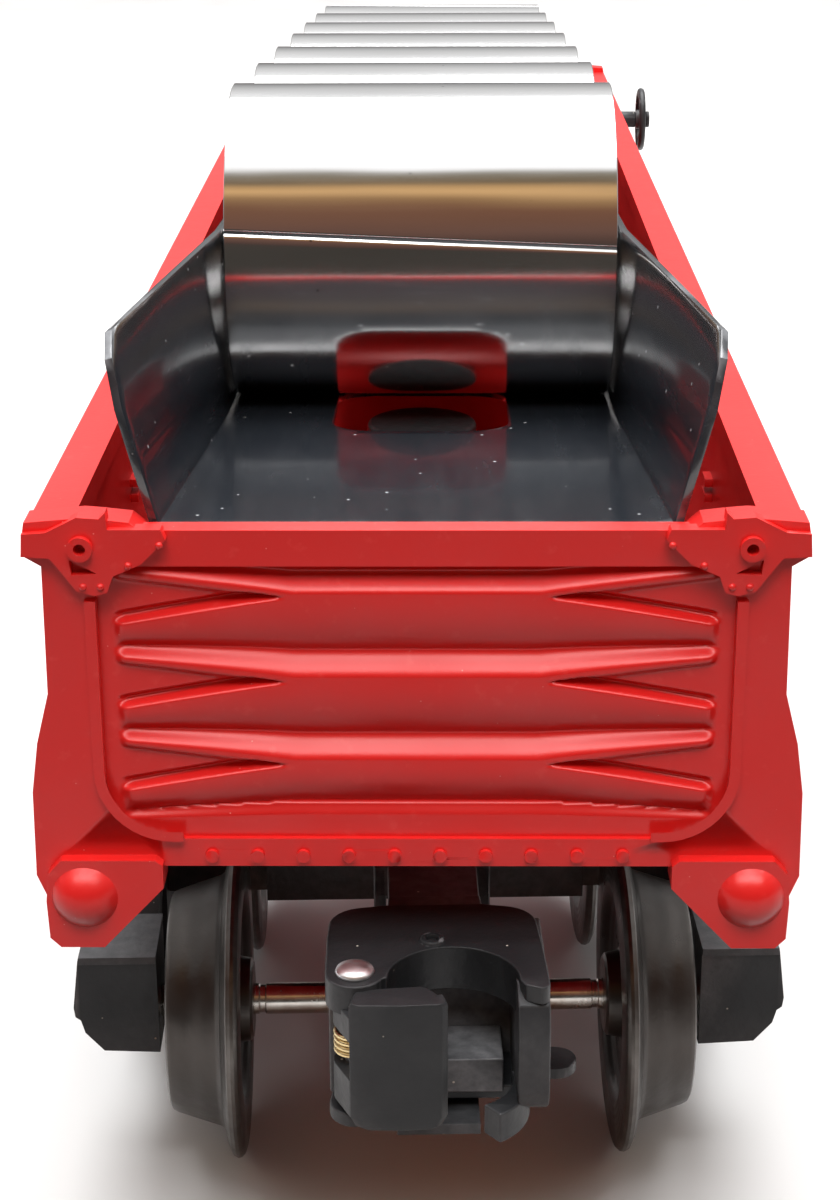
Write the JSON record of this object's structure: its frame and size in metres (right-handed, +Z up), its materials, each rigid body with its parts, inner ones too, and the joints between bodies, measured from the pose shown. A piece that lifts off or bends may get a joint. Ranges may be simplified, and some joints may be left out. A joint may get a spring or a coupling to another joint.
{
  "type": "toy gondola car",
  "caption": "Model railway gondola car with swivelling trucks, hinged coupler knuckles and a sloping sheet channel that rolls bright culvert pipes down from its high end.",
  "frame": {"origin": "on the plane the wheel flanges stand on, on the centre line, midway between the end walls", "axes": "+X across the car towards the brake wheel side, +Y along the car from the high loading end to the low end, +Z up"},
  "size_m": [0.0584, 0.2206, 0.0797],
  "materials": {
    "body_plastic": "satin red moulding",
    "channel_steel": "gloss black enamel on sheet steel",
    "pipe_tin": "bright tin plate",
    "wheel_iron": "blackened",
    "axle_steel": "bare turned steel",
    "truck_metal": "satin black die casting",
    "coupler_metal": "satin black die casting",
    "rivet_steel": "bright",
    "spring_brass": "drawn wire",
    "brake_metal": "brown black"
  },
  "bodies": {
    "car": {"body_shell": "body_plastic", "pipe_channel": "channel_steel", "channel_rivets": "rivet_steel", "truck_rivets": "coupler_metal", "brake_staff": "brake_metal"},
    "truck_front": {"bolster_front": "truck_metal", "side_frame_front_l": "truck_metal", "side_frame_front_r": "truck_metal", "axle_1": "axle_steel", "axle_2": "axle_steel", "coupler_front": "coupler_metal", "coupler_rivet_front": "rivet_steel", "knuckle_pin_front": "rivet_steel", "knuckle_spring_front": "spring_brass", "lock_pin_front": "rivet_steel"},
    "wheel_1l": {"wheel_1l": "wheel_iron"},
    "wheel_1r": {"wheel_1r": "wheel_iron"},
    "wheel_2l": {"wheel_2l": "wheel_iron"},
    "wheel_2r": {"wheel_2r": "wheel_iron"},
    "knuckle_front": {"knuckle_front": "coupler_metal"},
    "lock_plate_front": {"lock_plate_front": "coupler_metal"},
    "truck_rear": {"bolster_rear": "truck_metal", "side_frame_rear_l": "truck_metal", "side_frame_rear_r": "truck_metal", "axle_3": "axle_steel", "axle_4": "axle_steel", "coupler_rear": "coupler_metal", "coupler_rivet_rear": "rivet_steel", "knuckle_pin_rear": "rivet_steel", "knuckle_spring_rear": "spring_brass", "lock_pin_rear": "rivet_steel"},
    "wheel_3l": {"wheel_3l": "wheel_iron"},
    "wheel_3r": {"wheel_3r": "wheel_iron"},
    "wheel_4l": {"wheel_4l": "wheel_iron"},
    "wheel_4r": {"wheel_4r": "wheel_iron"},
    "knuckle_rear": {"knuckle_rear": "coupler_metal"},
    "lock_plate_rear": {"lock_plate_rear": "coupler_metal"},
    "brake_wheel": {"brake_wheel": "brake_metal"},
    "pipe_1": {"pipe_1": "pipe_tin"},
    "pipe_2": {"pipe_2": "pipe_tin"},
    "pipe_3": {"pipe_3": "pipe_tin"},
    "pipe_4": {"pipe_4": "pipe_tin"},
    "pipe_5": {"pipe_5": "pipe_tin"},
    "pipe_6": {"pipe_6": "pipe_tin"},
    "pipe_7": {"pipe_7": "pipe_tin"}
  },
  "joints": [
    {"name": "truck_front_swivel", "type": "hinge", "parent": "car", "child": "truck_front", "pos_m": [0, -0.0638, 0.03], "axis": [0, 0, 1], "range_deg": [-16.9, 13.1]},
    {"name": "wheel_1l_spin", "type": "hinge", "parent": "truck_front", "child": "wheel_1l", "pos_m": [0.00054, -0.08019, 0.01215], "axis": [0.9995, 0.0332, 0], "continuous": true},
    {"name": "wheel_1r_spin", "type": "hinge", "parent": "truck_front", "child": "wheel_1r", "pos_m": [0.00054, -0.08019, 0.01215], "axis": [0.9995, 0.0332, 0], "continuous": true},
    {"name": "wheel_2l_spin", "type": "hinge", "parent": "truck_front", "child": "wheel_2l", "pos_m": [-0.00054, -0.04741, 0.01215], "axis": [0.9995, 0.0332, 0], "continuous": true},
    {"name": "wheel_2r_spin", "type": "hinge", "parent": "truck_front", "child": "wheel_2r", "pos_m": [-0.00054, -0.04741, 0.01215], "axis": [0.9995, 0.0332, 0], "continuous": true},
    {"name": "knuckle_front_swing", "type": "hinge", "parent": "truck_front", "child": "knuckle_front", "pos_m": [-0.00408, -0.10666, 0.024], "axis": [0, 0, 1], "range_deg": [-35, 0]},
    {"name": "lock_plate_front_drop", "type": "hinge", "parent": "truck_front", "child": "lock_plate_front", "pos_m": [0.00083, -0.08879, 0.0183], "axis": [0.9995, 0.0332, 0], "range_deg": [0, 10], "stiffness_Nm_per_rad": 0.001, "springref_deg": -17.19},
    {"name": "truck_rear_swivel", "type": "hinge", "parent": "car", "child": "truck_rear", "pos_m": [0, 0.0638, 0.03], "axis": [0, 0, 1], "range_deg": [-15, 15]},
    {"name": "wheel_3l_spin", "type": "hinge", "parent": "truck_rear", "child": "wheel_3l", "pos_m": [0, 0.0474, 0.01215], "axis": [1, 0, 0], "continuous": true},
    {"name": "wheel_3r_spin", "type": "hinge", "parent": "truck_rear", "child": "wheel_3r", "pos_m": [0, 0.0474, 0.01215], "axis": [1, 0, 0], "continuous": true},
    {"name": "wheel_4l_spin", "type": "hinge", "parent": "truck_rear", "child": "wheel_4l", "pos_m": [0, 0.0802, 0.01215], "axis": [1, 0, 0], "continuous": true},
    {"name": "wheel_4r_spin", "type": "hinge", "parent": "truck_rear", "child": "wheel_4r", "pos_m": [0, 0.0802, 0.01215], "axis": [1, 0, 0], "continuous": true},
    {"name": "knuckle_rear_swing", "type": "hinge", "parent": "truck_rear", "child": "knuckle_rear", "pos_m": [0.0055, 0.1065, 0.024], "axis": [0, 0, 1], "range_deg": [-35, 0]},
    {"name": "lock_plate_rear_drop", "type": "hinge", "parent": "truck_rear", "child": "lock_plate_rear", "pos_m": [0, 0.0888, 0.0183], "axis": [-1, 0, 0], "range_deg": [0, 10], "stiffness_Nm_per_rad": 0.001, "springref_deg": -17.19},
    {"name": "brake_wheel_turn", "type": "hinge", "parent": "car", "child": "brake_wheel", "pos_m": [0.0292, 0.09, 0.0536], "axis": [1, 0, 0], "continuous": true},
    {"name": "pipe_1_lift", "type": "slide", "parent": "car", "child": "pipe_1", "axis": [0, 0.0698, 0.9976], "range_m": [0, 0.03]},
    {"name": "pipe_2_lift", "type": "slide", "parent": "car", "child": "pipe_2", "axis": [0, 0.0698, 0.9976], "range_m": [0, 0.03]},
    {"name": "pipe_3_lift", "type": "slide", "parent": "car", "child": "pipe_3", "axis": [0, 0.0698, 0.9976], "range_m": [0, 0.03]},
    {"name": "pipe_4_lift", "type": "slide", "parent": "car", "child": "pipe_4", "axis": [0, 0.0698, 0.9976], "range_m": [0, 0.03]},
    {"name": "pipe_5_lift", "type": "slide", "parent": "car", "child": "pipe_5", "axis": [0, 0.0698, 0.9976], "range_m": [0, 0.03]},
    {"name": "pipe_6_lift", "type": "slide", "parent": "car", "child": "pipe_6", "axis": [0, 0.0698, 0.9976], "range_m": [0, 0.03]},
    {"name": "pipe_7_lift", "type": "slide", "parent": "car", "child": "pipe_7", "axis": [0, 0.0698, 0.9976], "range_m": [0, 0.03]}
  ]
}
